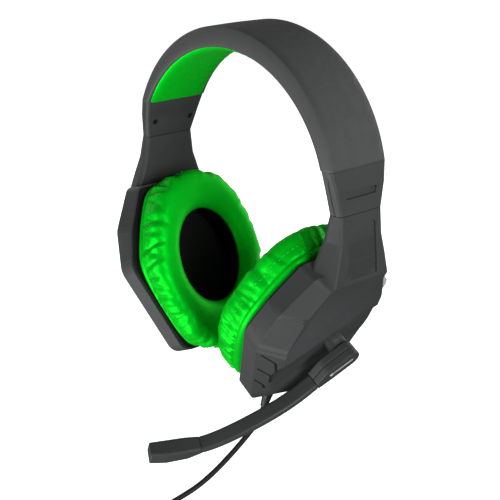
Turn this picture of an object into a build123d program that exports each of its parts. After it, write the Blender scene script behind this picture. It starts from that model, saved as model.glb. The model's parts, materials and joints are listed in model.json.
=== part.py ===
"""Over-ear gaming headset with a swinging microphone boom, in millimetres.

Frame: +Z up, +X towards the wearer's left, -Y towards the wearer's front. The origin is the
crown: the lowest point of the pad under the headband, where the headset rests on the head.
The cups hang canted, their bottoms closer together than their tops.

The cup plane is where the left ear pad meets the cup: its x runs along +Y (backwards), its y
up the slope, and its z outwards, away from the head. Right-hand pieces are mirror images.
"""

import os
from math import cos, pi, radians, sin, sqrt, tan

from build123d import *

os.makedirs("parts", exist_ok=True)

# ---- headband ----
INNER_R = 71.4            # underside arc, its lowest point at the crown
OUTER_R = 76.0            # top arc
OUTER_CENTRE_Z = -65.2
BAND_TOP_HALF = 18.9      # half-width at the top face
BAND_UNDER_HALF = 20.4    # half-width at the underside
BAND_BEVEL = 7.0          # width of the bevel along each edge of the top face
BAND_END_Z = -43.0        # where the band meets its end pieces
PAD_HALF = 17.4
PAD_THICK = 2.4
STRIP_HALF = 9.0          # spring steel strip above the pad
STRIP_THICK = 0.8
STRIP_END_Z = -30.0
PLAY = 0.1                # between neighbouring pieces

# ---- band ends, sliders and arms: (z, inner x, outer x, inner half-width, outer half-width) ----
END_SECTIONS = [
    (-43.15, 65.5, 72.7, 20.2, 19.2),
    (-52.0, 67.6, 75.2, 18.8, 17.2),
    (-64.5, 69.9, 77.1, 16.7, 14.2),
]
ARM_SECTIONS = [
    (-64.8, 69.9, 77.1, 16.5, 14.2),
    (-78.0, 68.9, 79.2, 18.4, 14.4),
    (-88.0, 68.2, 80.7, 22.5, 16.6),
    (-99.2, 68.0, 81.9, 28.0, 19.0),
]
FOOT_SECTION = (-114.0, 71.5, 75.6, 23.0, 17.0)   # where the arm has sunk into the cup
SECTION_ROUND = 2.0
ARM_COVER_THICK = 2.4
SLIDE_TILT = 11.5         # degrees from vertical
SLIDER_X = 73.8
SLIDER_Z = -64.65
SLIDER_HALF = 7.0
SLIDER_THICK = 1.2
SLIDER_UP = 30.0          # length above the seam
SLIDER_DOWN = 14.0        # length held in the arm
POCKET_PLAY = 0.35
SLOT_Z = -55.5            # recess across each band end
SLOT_HALF = 11.3
SLOT_TALL = 3.6
SLOT_DEEP = 1.0
SCREW_R = 1.6
SCREW_SUNK = 3.2          # from the slider plane inwards to a screw's head
SCREW_LENGTH = 3.0
CROSS_DEEP = 0.7
END_SCREW_SPOTS = [(-12.4, 10.0), (12.4, 10.0)]   # in the slider plane
END_HALF_THICK = 3.5      # a band end, from the slider plane to its outer face

# ---- cup outlines: half of each, from the top down, mirrored about the cup's middle ----
CANT = 26.06              # degrees
CUP_ORIGIN = (43.7, -2.7, -131.0)
BASE_HALF = [(23.0, 46.0), (35.0, 24.0), (41.0, 4.0), (20.0, -50.0)]
RIDGE_HALF = [(23.0, 47.0), (36.8, 25.0), (40.6, 2.0), (20.0, -50.5)]
PLATEAU_HALF = [(18.8, 45.0), (27.5, 27.0), (30.5, 4.0), (14.0, -31.0)]
OUTLINE_ROUNDS = [5.0, 12.0, 14.0, 9.0]
PLATEAU_TILT = 3.6        # the outer face is this much nearer upright than the cup plane
RIM_DEPTH = 12.2          # first ridge, out of the cup plane
PLATEAU_OUT = 23.4        # second ridge
WALL = 2.2
CAVITY_OUT = 16.5
CAVITY_INSET = 9.0
VENT_HOOKS = [                # on the lower front bevel: along the first ridge, then up the bevel
    [(-22.5, 2.6), (-16.8, 10.6), (-8.0, 11.4)],
    [(-8.0, 1.6), (-3.0, 9.2), (4.5, 8.9)],
    [(4.5, 0.8), (8.5, 6.0), (11.5, 6.2)],
]
VENT_WIDE = 1.5
VENT_ROUND = 2.0
VENT_DEEP = 1.6
VENT_INSERT_THICK = 1.15
GROOVE_R = 28.0           # shallow hollow that the boom's housing stands in
GROOVE_DEPTH = 5.0
GROOVE_AT = (3.0, -9.0)
GROOVE_ANGLE = 207.0
PANEL_Z = (-70.0, -97.5)      # inset panel on the arm's outer face
PANEL_HALF = (9.4, 10.6)
PANEL_DEEP = 1.0
PANEL_ROUND = 1.5
RETAINER_THICK = 1.2
BAFFLE_LOW = 1.6
BAFFLE_THICK = 1.8
DRIVER_R = 20.0
DRIVER_AT = (0.0, -2.0)

# ---- ear pad ----
PAD_DEPTH = 21.0
PAD_HOLE = (20.5, 26.5)   # half-axes of the ear opening
PAD_GAP = 0.3
CLOTH_HALF = (21.6, 27.6)
CLOTH_THICK = 0.8
GRILLE_RINGS = [(6.0, 6), (11.5, 12), (16.5, 18)]   # radius, number of holes
GRILLE_HOLE_R = 1.4
FRAME_OUT = 8.0
MAGNET_R = 9.0
MAGNET_OUT = 11.0
FRAME_WALL = 1.6
FRAME_VENTS = (13.8, 8, 2.0)  # radius of their circle, how many, radius of each
FILM_GAP = 0.5            # from the baffle to the diaphragm
FILM_THICK = 0.3
VOICE_COIL_R = 6.0

# ---- boom ----
PIVOT = (11.3, -5.1)      # in the cup plane
BOOM_ANGLE = 215.0        # direction of the housing in the cup plane
BOSS_R = 5.5
BOSS_TOP = 25.0
HOUSING_LOW = 25.6
HOUSING_SPLIT = 29.9
HOUSING_HIGH = 34.2
HOUSING_CORNERS = [           # along, down, corner radius
    (-6.3, -6.2, 5.6), (13.0, -5.4, 7.0), (21.0, 0.8, 0.5),
    (21.0, 6.3, 0.5), (12.0, 6.8, 8.0), (-6.3, 6.2, 5.6),
]
HOUSING_LENGTH = 21.0
PIN_R = 2.5
PIN_PLAY = 0.05
PIN_FLANGE_R = 4.0
PIN_FLANGE_THICK = 1.6
ARM_ROUTE = [
    (-3.6, -20.6, 29.9), (-10.5, -27.0, 29.9), (-19.8, -33.4, 29.6), (-30.2, -40.2, 28.4),
    (-41.3, -48.4, 26.0), (-50.8, -56.6, 22.6), (-55.8, -60.6, 20.2),
]
MIC_ROUTE = [(-62.0, -64.6, 17.0), (-71.0, -68.2, 12.8), (-78.6, -69.9, 9.2)]
ARM_SIZE = (5.0, 8.4)
ARM_ROUND = 1.6
MIC_SIZES = [(9.6, 9.2), (9.8, 9.4), (8.8, 8.6)]
ACCENT_SIZE = (15.0, 0.75, 0.25)  # long, wide, high
ACCENT_DOT_R = 1.1                # at its end towards the microphone
ACCENT_ALONG = 5.5
MOUTH_SLOT = (13.0, 5.0)
MOUTH_OUT = 3.2           # height of the slot's floor above the housing's middle
FOAM_THICK = 1.1
CAPSULE_R = 3.0

# ---- volume wheel ----
WHEEL_AT = (29.6, 22.6)
WHEEL_R = 9.5
WHEEL_LOW = 10.0
WHEEL_HIGH = 14.6
WHEEL_SHAFT_R = 1.5
WHEEL_NOTCHES = 36
NOTCH_R = 0.35
WHEEL_ROOM = (0.5, 0.4)   # round the wheel, and above and below it
POT_SIDE = 4.4
POT_LOW = 6.0
BOARD_SIZE = (10.0, 14.0)
BOARD_AT = (26.0, 17.0)
BOARD_THICK = 1.2

# ---- cable ----
CABLE_D = 3.0
GLAND_AT = (29.4, -5.7, -182.0)
GLAND_LENGTH = 11.0
GLAND_NECK_R = 2.4
GLAND_R = (3.2, 2.0)
CABLE_ROUTE = [
    (27.9, -7.5, -192.7), (27.1, -9.2, -200.9), (25.1, -14.6, -208.9), (22.6, -22.9, -218.6),
    (20.0, -31.9, -227.8), (17.0, -41.4, -235.8), (13.9, -51.2, -241.0), (9.5, -60.6, -246.5),
    (5.0, -66.5, -254.8), (2.2, -68.4, -264.6), (1.5, -68.5, -276.0),
]
COIL_CENTRE = (9.0, -48.0, -276.0)
COIL_MID_R = 17.5
COIL_RADIAL = 9.0         # three layers of turns
COIL_WIDE = 18.0          # six turns side by side
TIE_THICK = 0.8
TIE_SPAN = 26.0           # degrees of the ring
TAIL_END_Z = -292.0
RELIEF_LENGTH = 9.0
GRIP_R = 3.9
GRIP_LENGTH = 22.0
JACK_R = 1.75
JACK_CORE_R = 0.9
JACK_PIECES = [("plug_sleeve", 5.4), ("plug_ring_inner", 2.4), ("plug_ring_outer", 2.4)]
JACK_GAP = 0.6            # insulating collar between two contacts
TIP_LENGTH = 3.4


def save(part, label):
    """Label one finished piece and write its STEP file."""
    part.label = label
    export_step(part, f"parts/{label}.step")


def save_pair(part, stem):
    """Write a left piece and its mirror image on the right."""
    right = mirror(part, about=Plane.YZ)
    save(part, f"left_{stem}")
    save(right, f"right_{stem}")


def direction(angle):
    """Unit vector in a plane, angle in degrees."""
    return (cos(radians(angle)), sin(radians(angle)))


cup = Plane(
    origin=CUP_ORIGIN, x_dir=(0, 1, 0), z_dir=(cos(radians(CANT)), 0, -sin(radians(CANT)))
)
slider = Plane(
    origin=(SLIDER_X, 0, SLIDER_Z),
    x_dir=(0, 1, 0),
    z_dir=(cos(radians(SLIDE_TILT)), 0, sin(radians(SLIDE_TILT))),
)
boom_across = direction(BOOM_ANGLE - 90)    # towards the upper edge of the housing


def on_boom(along, down):
    """A point of the boom's housing, in the cup plane."""
    ahead = direction(BOOM_ANGLE)
    return (
        PIVOT[0] + along * ahead[0] - down * boom_across[0],
        PIVOT[1] + along * ahead[1] - down * boom_across[1],
    )


# =====================================================================================
# Headband
# =====================================================================================
def half_span(radius, centre_z, z):
    """Half-span of an arc over the head at a height."""
    return sqrt(radius**2 - (z - centre_z) ** 2)


def band_outline(low_r, low_centre, high_r, high_centre, end_z):
    """The outline between two arcs over the head, cut level at end_z."""
    low = half_span(low_r, low_centre, end_z)
    high = half_span(high_r, high_centre, end_z)
    ThreePointArc((-low, end_z), (0, low_centre + low_r), (low, end_z))
    Line((low, end_z), (high, end_z))
    ThreePointArc((high, end_z), (0, high_centre + high_r), (-high, end_z))
    Line((-high, end_z), (-low, end_z))


PAD_TOP_R = INNER_R + PAD_THICK
STRIP_TOP_R = PAD_TOP_R + 2 * PLAY + STRIP_THICK

with BuildPart() as headband_cover:
    with BuildSketch(Plane.XZ):
        with BuildLine():
            band_outline(INNER_R, -INNER_R, OUTER_R, OUTER_CENTRE_Z, BAND_END_Z)
        make_face()
    extrude(amount=BAND_UNDER_HALF, both=True)
    top_edges = (
        headband_cover.faces().sort_by(SortBy.AREA)[-1].edges().filter_by(GeomType.CIRCLE)
    )
    chamfer(top_edges, length=BAND_UNDER_HALF - BAND_TOP_HALF, length2=BAND_BEVEL)
    with BuildSketch(Plane.XZ):
        with BuildLine():
            band_outline(INNER_R - 1, -INNER_R, PAD_TOP_R + PLAY, -INNER_R, BAND_END_Z)
        make_face()
    extrude(amount=PAD_HALF + PLAY, both=True, mode=Mode.SUBTRACT)
    with BuildSketch(Plane.XZ):
        with BuildLine():
            band_outline(PAD_TOP_R, -INNER_R, STRIP_TOP_R + PLAY, -INNER_R, STRIP_END_Z)
        make_face()
    extrude(amount=STRIP_HALF + PLAY, both=True, mode=Mode.SUBTRACT)

with BuildPart() as headband_pad:
    with BuildSketch(Plane.XZ):
        with BuildLine():
            band_outline(INNER_R, -INNER_R, PAD_TOP_R, -INNER_R, BAND_END_Z + PLAY)
        make_face()
    extrude(amount=PAD_HALF, both=True)

with BuildPart() as headband_spring:
    with BuildSketch(Plane.XZ):
        with BuildLine():
            band_outline(PAD_TOP_R + PLAY, -INNER_R, STRIP_TOP_R, -INNER_R, STRIP_END_Z + PLAY)
        make_face()
    extrude(amount=STRIP_HALF, both=True)


# =====================================================================================
# Band ends, sliders and arms (left side; the right is a mirror image)
# =====================================================================================
def level_section(z, inner_x, outer_x, inner_half, outer_half):
    """A level slice through a band end or an arm: a trapezoid with rounded corners."""
    with BuildSketch(Plane.XY.offset(z)) as section:
        Polygon(
            (inner_x, -inner_half), (outer_x, -outer_half),
            (outer_x, outer_half), (inner_x, inner_half), align=None,
        )
        fillet(section.vertices(), radius=SECTION_ROUND)
    return section.sketch


def slider_block(play):
    """The space of the steel slider strip, with play all round."""
    with BuildPart() as block:
        with BuildSketch(slider):
            with Locations((0, (SLIDER_UP - SLIDER_DOWN) / 2)):
                Rectangle(2 * (SLIDER_HALF + play), SLIDER_UP + SLIDER_DOWN + 2 * play)
        extrude(amount=SLIDER_THICK / 2 + play, both=True)
    return block.part


pocket = slider_block(POCKET_PLAY)

with BuildPart() as band_cover_open:
    add(headband_cover.part)
    add(pocket, mode=Mode.SUBTRACT)
    add(mirror(pocket, about=Plane.YZ), mode=Mode.SUBTRACT)

with BuildPart() as band_end:
    loft(sections=[level_section(*row) for row in END_SECTIONS], ruled=True)
    add(pocket, mode=Mode.SUBTRACT)
    with BuildSketch(slider.offset(END_HALF_THICK - SLOT_DEEP)):
        with Locations((0, SLOT_Z - SLIDER_Z)):
            SlotOverall(2 * SLOT_HALF, SLOT_TALL)
    extrude(amount=2 * SLOT_DEEP, mode=Mode.SUBTRACT)
    with BuildSketch(slider):
        with Locations(*END_SCREW_SPOTS):
            Circle(SCREW_R + PLAY)
    extrude(amount=-2 * END_HALF_THICK, mode=Mode.SUBTRACT)

with BuildPart() as band_end_outer:
    add(band_end.part)
    split(bisect_by=slider.offset(PLAY / 2), keep=Keep.TOP)

with BuildPart() as band_end_inner:
    add(band_end.part)
    split(bisect_by=slider.offset(-PLAY / 2), keep=Keep.BOTTOM)


def small_screw(plane, spots, sink, length):
    """Cross-head screws whose heads sit sunk in holes that open towards -z of the plane."""
    with BuildPart() as screws:
        with BuildSketch(plane.offset(-sink)):
            with Locations(*spots):
                Circle(SCREW_R)
        extrude(amount=length)
        with BuildSketch(plane.offset(-sink)):
            with Locations(*spots):
                Rectangle(2.0, 0.5)
                Rectangle(0.5, 2.0)
        extrude(amount=CROSS_DEEP, mode=Mode.SUBTRACT)
    return screws.part


end_screws = small_screw(slider, END_SCREW_SPOTS, SCREW_SUNK, SCREW_LENGTH)
band_end_screws = end_screws + mirror(end_screws, about=Plane.YZ)

with BuildPart() as slider_strip:
    add(slider_block(0))
    with BuildSketch(slider):
        with Locations((0, SLIDER_UP / 2)):
            with GridLocations(1, 4.5, 1, 5):
                SlotOverall(6.0, 1.6)
    extrude(amount=SLIDER_THICK, both=True, mode=Mode.SUBTRACT)


# =====================================================================================
# Cup housings
# =====================================================================================
def cup_outline(half, plane, inset=0.0):
    """A cup's outline: the given half and its mirror image, with rounded corners."""
    points = half + [(-across, up) for across, up in reversed(half)]
    rounds = OUTLINE_ROUNDS + OUTLINE_ROUNDS[::-1]
    with BuildSketch(plane) as outline:
        with BuildLine():
            FilletPolyline(*points, radius=rounds, close=True)
        make_face()
        if inset > 0:
            offset(amount=-inset, mode=Mode.REPLACE)
    return outline.sketch


plateau = Plane(
    origin=cup.from_local_coords((0, 0, PLATEAU_OUT)),
    x_dir=(0, 1, 0),
    z_dir=(cos(radians(CANT - PLATEAU_TILT)), 0, -sin(radians(CANT - PLATEAU_TILT))),
)
ridge_plane = cup.offset(RIM_DEPTH)

with BuildPart() as rim_block:
    loft(
        sections=[
            cup_outline(BASE_HALF, cup.offset(RETAINER_THICK + PLAY)),
            cup_outline(RIDGE_HALF, ridge_plane),
        ],
        ruled=True,
    )

with BuildPart() as arm_block:
    loft(sections=[level_section(*row) for row in ARM_SECTIONS], ruled=True)

with BuildPart() as arm_foot:
    loft(sections=[level_section(*ARM_SECTIONS[-1]), level_section(*FOOT_SECTION)], ruled=True)
    add(rim_block.part, mode=Mode.SUBTRACT)

with BuildPart() as arm_solid:
    add(arm_block.part)
    add(slider_block(PLAY), mode=Mode.SUBTRACT)
    add(rim_block.part, mode=Mode.SUBTRACT)


def panel_layer(margin, low, high):
    """A layer under the arm's outer face, in the panel's outline less a margin all round."""
    top, bottom = PANEL_Z[0] - margin, PANEL_Z[1] + margin
    with BuildPart() as layer:
        add(arm_block.part.moved(Location((-low, 0, 0))))
        with BuildSketch(Plane.YZ.offset(CUP_ORIGIN[0])) as outline:
            Polygon(
                (-PANEL_HALF[0] + margin, top), (PANEL_HALF[0] - margin, top),
                (PANEL_HALF[1] - margin, bottom), (-PANEL_HALF[1] + margin, bottom), align=None,
            )
            fillet(outline.vertices(), radius=PANEL_ROUND)
        extrude(amount=60, mode=Mode.INTERSECT)
        add(arm_block.part.moved(Location((-high, 0, 0))), mode=Mode.SUBTRACT)
    return layer.part


ARM_LEAN = (ARM_SECTIONS[-1][1] - ARM_SECTIONS[0][1]) / (ARM_SECTIONS[-1][0] - ARM_SECTIONS[0][0])
arm_parting = Plane(
    origin=(ARM_SECTIONS[0][1] + ARM_COVER_THICK, 0, ARM_SECTIONS[0][0]),
    x_dir=(0, 1, 0),
    z_dir=(1, 0, -ARM_LEAN),
)

with BuildPart() as arm_cover:
    add(arm_solid.part)
    split(bisect_by=arm_parting.offset(-PLAY), keep=Keep.BOTTOM)

with BuildPart() as arm_moulding:
    add(arm_solid.part)
    split(bisect_by=arm_parting, keep=Keep.TOP)

# The lower front bevel, between the two ridges: x runs down the first ridge, z faces out.
bevel_start = cup.from_local_coords((-RIDGE_HALF[2][0], RIDGE_HALF[2][1], RIM_DEPTH))
bevel_end = cup.from_local_coords((-RIDGE_HALF[3][0], RIDGE_HALF[3][1], RIM_DEPTH))
bevel_high = plateau.from_local_coords((-PLATEAU_HALF[2][0], PLATEAU_HALF[2][1], 0))
bevel_down = bevel_end - bevel_start
bevel = Plane(
    origin=(bevel_start + bevel_end) / 2,
    x_dir=bevel_down,
    z_dir=bevel_down.cross(bevel_high - bevel_start),
)

with BuildSketch(bevel) as vents:
    for hook in VENT_HOOKS:
        with BuildLine():
            FilletPolyline(*hook, radius=VENT_ROUND)
        trace(line_width=VENT_WIDE)

with BuildPart() as shell:
    loft(
        sections=[cup_outline(RIDGE_HALF, ridge_plane), cup_outline(PLATEAU_HALF, plateau)],
        ruled=True,
    )
    add(arm_moulding.part)
    add(arm_foot.part)
    add(panel_layer(0, -1, PANEL_DEEP), mode=Mode.SUBTRACT)
    add(cup_outline(RIDGE_HALF, ridge_plane, CAVITY_INSET))
    extrude(amount=CAVITY_OUT - RIM_DEPTH, dir=cup.z_dir, mode=Mode.SUBTRACT)
    add(vents.sketch)
    extrude(amount=VENT_DEEP, dir=-bevel.z_dir, mode=Mode.SUBTRACT)

with BuildPart() as vent_inserts:
    add(vents.sketch)
    extrude(amount=VENT_DEEP, dir=-bevel.z_dir)
    add(rim_block.part, mode=Mode.SUBTRACT)
    split(bisect_by=bevel.offset(VENT_INSERT_THICK - VENT_DEEP), keep=Keep.BOTTOM)


def across_cup(radius, low, high, at):
    """A plain cylinder square to the cup plane, between two heights out of it."""
    with BuildPart() as post:
        with BuildSketch(cup.offset(low)):
            with Locations(at):
                Circle(radius)
        extrude(amount=high - low)
    return post.part


with BuildPart() as rim:
    add(rim_block.part)
    add(cup_outline(BASE_HALF, cup.offset(-1), WALL))
    extrude(amount=RIM_DEPTH + 2, dir=cup.z_dir, mode=Mode.SUBTRACT)

# Left cup only: the boom's hollow and boss, the wheel's slot and the cable's way out.
groove_along = direction(GROOVE_ANGLE)
groove_line = Plane(
    origin=cup.from_local_coords((*GROOVE_AT, PLATEAU_OUT + GROOVE_R - GROOVE_DEPTH)),
    z_dir=cup.x_dir * groove_along[0] + cup.y_dir * groove_along[1],
)
gland_dir = (Vector(*CABLE_ROUTE[0]) - Vector(*GLAND_AT)).normalized()
gland = Plane(origin=GLAND_AT, z_dir=gland_dir)


def wheel_room(low, high):
    """The slot that the volume wheel turns in, between two heights."""
    return across_cup(WHEEL_R + WHEEL_ROOM[0], low, high, WHEEL_AT)


with BuildPart() as left_shell:
    add(shell.part)
    with BuildSketch(groove_line):
        Circle(GROOVE_R)
    extrude(amount=120, both=True, mode=Mode.SUBTRACT)
    add(across_cup(BOSS_R, CAVITY_OUT + 0.5, BOSS_TOP, PIVOT))
    add(across_cup(PIN_R + PIN_PLAY, CAVITY_OUT - 1, BOSS_TOP + 1, PIVOT), mode=Mode.SUBTRACT)
    add(wheel_room(RIM_DEPTH - 1, WHEEL_HIGH + WHEEL_ROOM[1]), mode=Mode.SUBTRACT)

with BuildPart() as left_rim:
    add(rim.part)
    add(wheel_room(WHEEL_LOW - WHEEL_ROOM[1], RIM_DEPTH + 1), mode=Mode.SUBTRACT)
    with BuildSketch(gland.offset(-6)):
        Circle(GLAND_NECK_R + PLAY)
    extrude(amount=6, mode=Mode.SUBTRACT)

arm_panel = panel_layer(0.25, 0.45, PANEL_DEEP)


# =====================================================================================
# Inside a cup: retainer, cloth, baffle and driver
# =====================================================================================
with BuildPart() as pad_retainer:
    add(cup_outline(BASE_HALF, cup, 1.2))
    extrude(amount=RETAINER_THICK, dir=cup.z_dir)
    with BuildSketch(cup.offset(-1)):
        Ellipse(CLOTH_HALF[0] + PLAY, CLOTH_HALF[1] + PLAY)
    extrude(amount=3, mode=Mode.SUBTRACT)

with BuildPart() as speaker_cloth:
    with BuildSketch(cup.offset(PLAY)):
        Ellipse(*CLOTH_HALF)
    extrude(amount=CLOTH_THICK)

with BuildPart() as baffle:
    add(cup_outline(BASE_HALF, cup.offset(BAFFLE_LOW), WALL + PLAY))
    extrude(amount=BAFFLE_THICK, dir=cup.z_dir)
    with BuildSketch(cup):
        with Locations(DRIVER_AT):
            Circle(GRILLE_HOLE_R)
            for ring_radius, hole_count in GRILLE_RINGS:
                with PolarLocations(ring_radius, hole_count):
                    Circle(GRILLE_HOLE_R)
    extrude(amount=6, mode=Mode.SUBTRACT)

baffle_out = BAFFLE_LOW + BAFFLE_THICK

with BuildPart() as driver_frame:
    add(across_cup(DRIVER_R, baffle_out, FRAME_OUT, DRIVER_AT))
    add(
        across_cup(DRIVER_R - FRAME_WALL, baffle_out, FRAME_OUT - FRAME_WALL, DRIVER_AT),
        mode=Mode.SUBTRACT,
    )
    add(across_cup(MAGNET_R + PLAY / 2, baffle_out, FRAME_OUT + 1, DRIVER_AT), mode=Mode.SUBTRACT)
    with BuildSketch(cup.offset(baffle_out)):
        with Locations(DRIVER_AT):
            with PolarLocations(FRAME_VENTS[0], FRAME_VENTS[1]):
                Circle(FRAME_VENTS[2])
    extrude(amount=FRAME_OUT, mode=Mode.SUBTRACT)

with BuildPart() as driver_magnet:
    add(across_cup(MAGNET_R, FRAME_OUT - 2.6, MAGNET_OUT, DRIVER_AT))

with BuildPart() as diaphragm:
    film_low = baffle_out + FILM_GAP
    add(across_cup(DRIVER_R - FRAME_WALL - PLAY, film_low, film_low + FILM_THICK, DRIVER_AT))
    add(across_cup(VOICE_COIL_R, baffle_out + FILM_THICK, film_low, DRIVER_AT))

with BuildPart() as ear_pad:
    add(cup_outline(BASE_HALF, cup.offset(-PAD_GAP), 0))
    extrude(amount=-(PAD_DEPTH - PAD_GAP), dir=cup.z_dir)
    with BuildSketch(cup):
        Ellipse(*PAD_HOLE)
    extrude(amount=-PAD_DEPTH - 1, mode=Mode.SUBTRACT)


# =====================================================================================
# Volume wheel, its control and board (left cup)
# =====================================================================================
with BuildPart() as volume_wheel:
    with BuildSketch(cup.offset(WHEEL_LOW)):
        with Locations(WHEEL_AT):
            Circle(WHEEL_R)
            with PolarLocations(WHEEL_R, WHEEL_NOTCHES):
                Circle(NOTCH_R, mode=Mode.SUBTRACT)
    extrude(amount=WHEEL_HIGH - WHEEL_LOW)
    add(across_cup(WHEEL_SHAFT_R, POT_LOW + 0.4, WHEEL_LOW, WHEEL_AT))

with BuildPart() as volume_pot:
    with BuildSketch(cup.offset(POT_LOW)):
        with Locations(WHEEL_AT):
            Rectangle(POT_SIDE, POT_SIDE)
    extrude(amount=WHEEL_LOW - POT_LOW - 0.3)
    add(
        across_cup(WHEEL_SHAFT_R + PIN_PLAY, POT_LOW - 1, WHEEL_LOW, WHEEL_AT), mode=Mode.SUBTRACT
    )

with BuildPart() as volume_board:
    with BuildSketch(cup.offset(POT_LOW - BOARD_THICK)):
        with Locations(BOARD_AT):
            Rectangle(*BOARD_SIZE)
    extrude(amount=BOARD_THICK)


# =====================================================================================
# Boom: housing, arm and microphone
# =====================================================================================
def housing_half(low, high):
    """The housing, a rounded pod that narrows to the arm, between two heights."""
    with BuildPart() as half:
        with BuildSketch(cup.offset(low)):
            with BuildLine():
                FilletPolyline(
                    *[on_boom(along, down) for along, down, _ in HOUSING_CORNERS],
                    radius=[corner for _, _, corner in HOUSING_CORNERS],
                    close=True,
                )
            make_face()
        extrude(amount=high - low)
    return half.part


boom_ahead = direction(BOOM_ANGLE)
housing_end = Plane(
    origin=cup.from_local_coords((*on_boom(HOUSING_LENGTH, 0), HOUSING_SPLIT)),
    z_dir=cup.x_dir * boom_ahead[0] + cup.y_dir * boom_ahead[1],
)

with BuildPart() as boom_housing_inner:
    add(housing_half(HOUSING_LOW, HOUSING_SPLIT))
    add(
        across_cup(PIN_R + PIN_PLAY, HOUSING_LOW - 1, HOUSING_SPLIT + 1, PIVOT),
        mode=Mode.SUBTRACT,
    )

with BuildPart() as boom_housing_outer:
    add(housing_half(HOUSING_SPLIT, HOUSING_HIGH))
    add(
        across_cup(PIN_FLANGE_R + 0.3, HOUSING_SPLIT - 1, HOUSING_SPLIT + 2.3, PIVOT),
        mode=Mode.SUBTRACT,
    )

with BuildPart() as boom_pivot_pin:
    low_flange = CAVITY_OUT - PLAY / 2 - PIN_FLANGE_THICK
    high_flange = HOUSING_SPLIT + 0.3
    add(across_cup(PIN_FLANGE_R, low_flange, low_flange + PIN_FLANGE_THICK, PIVOT))
    add(across_cup(PIN_R, low_flange, high_flange + PIN_FLANGE_THICK, PIVOT))
    add(across_cup(PIN_FLANGE_R, high_flange, high_flange + PIN_FLANGE_THICK, PIVOT))

with BuildPart() as boom_washer:
    add(across_cup(BOSS_R - 0.2, BOSS_TOP + 0.05, HOUSING_LOW - 0.1, PIVOT))
    add(across_cup(PIN_R + PIN_PLAY, BOSS_TOP, HOUSING_LOW, PIVOT), mode=Mode.SUBTRACT)

with BuildPart() as boom_accent:
    with BuildSketch(
        Plane(
            origin=cup.from_local_coords((*on_boom(ACCENT_ALONG, 0), HOUSING_HIGH)),
            x_dir=housing_end.z_dir,
            z_dir=cup.z_dir,
        )
    ):
        SlotOverall(*ACCENT_SIZE[:2])
        with Locations((ACCENT_SIZE[0] / 2 - ACCENT_DOT_R, 0)):
            Circle(ACCENT_DOT_R)
    extrude(amount=ACCENT_SIZE[2])


def route_planes(route):
    """A plane square to the route at each of its points, x across the boom's own plane."""
    points = [cup.from_local_coords(point) for point in route]
    planes = [Plane(origin=points[0], x_dir=cup.z_dir.cross(housing_end.z_dir),
                    z_dir=housing_end.z_dir)]
    for before, here, after in zip(points, points[1:], points[2:] + [points[-1]]):
        along = after - before
        planes.append(Plane(origin=here, x_dir=cup.z_dir.cross(along), z_dir=along))
    return planes


def boom_section(plane, size):
    """One rounded rectangular slice of the boom."""
    with BuildSketch(plane) as section:
        RectangleRounded(*size, radius=ARM_ROUND)
    return section.sketch


boom_planes = route_planes(ARM_ROUTE + MIC_ROUTE)
arm_end = len(ARM_ROUTE)

with BuildPart() as boom_arm:
    loft(sections=[boom_section(plane, ARM_SIZE) for plane in boom_planes[:arm_end]])

mic_sections = [boom_section(boom_planes[arm_end - 1], ARM_SIZE)]
for mic_plane, mic_size in zip(boom_planes[arm_end:], MIC_SIZES):
    mic_sections.append(boom_section(mic_plane, mic_size))
mouth = Plane(
    origin=boom_planes[arm_end + 1].origin,
    x_dir=boom_planes[arm_end + 1].z_dir,
    z_dir=-boom_planes[arm_end + 1].y_dir,
)

with BuildPart() as mic_housing:
    loft(sections=mic_sections, ruled=True)
    with BuildSketch(mouth.offset(MOUTH_OUT)):
        SlotOverall(*MOUTH_SLOT)
    extrude(amount=5, mode=Mode.SUBTRACT)
    with BuildSketch(mouth):
        Circle(CAPSULE_R + PLAY / 2)
    extrude(amount=5, mode=Mode.SUBTRACT)

with BuildPart() as mic_foam:
    with BuildSketch(mouth.offset(MOUTH_OUT + PLAY)):
        SlotOverall(MOUTH_SLOT[0] - 2 * PLAY, MOUTH_SLOT[1] - 2 * PLAY)
    extrude(amount=FOAM_THICK)

with BuildPart() as mic_capsule:
    with BuildSketch(mouth.offset(PLAY)):
        Circle(CAPSULE_R)
    extrude(amount=3.0)


# =====================================================================================
# Cable, its coil and the plug
# =====================================================================================
def route_radii(points):
    """Bend radius at each inner point: 0.45 of the shorter run over the tangent of half the turn."""
    vectors = [Vector(*point) for point in points]
    radii = []
    for before, here, after in zip(vectors, vectors[1:], vectors[2:]):
        run_in, run_out = here - before, after - here
        half_turn = radians(run_in.get_angle(run_out) / 2)
        radii.append(0.45 * min(run_in.length, run_out.length) / tan(half_turn))
    return radii


cable_radii = route_radii(CABLE_ROUTE)
print("cable bend radii", [round(radius, 1) for radius in cable_radii])

with BuildPart() as cable:
    with BuildLine() as cable_line:
        FilletPolyline(*CABLE_ROUTE, radius=cable_radii)
    with BuildSketch(Plane(origin=CABLE_ROUTE[0], z_dir=cable_line.line % 0)):
        Circle(CABLE_D / 2)
    sweep()
print("cable length", sum(edge.length for edge in cable_line.edges()), "volume over section",
      cable.part.volume / (pi * CABLE_D**2 / 4))

with BuildPart() as cable_gland:
    with BuildSketch(gland):
        Circle(GLAND_R[0])
    with BuildSketch(gland.offset(GLAND_LENGTH)):
        Circle(GLAND_R[1])
    loft()
    with BuildSketch(gland.offset(-4)):
        Circle(GLAND_NECK_R)
    extrude(amount=4)


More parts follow.
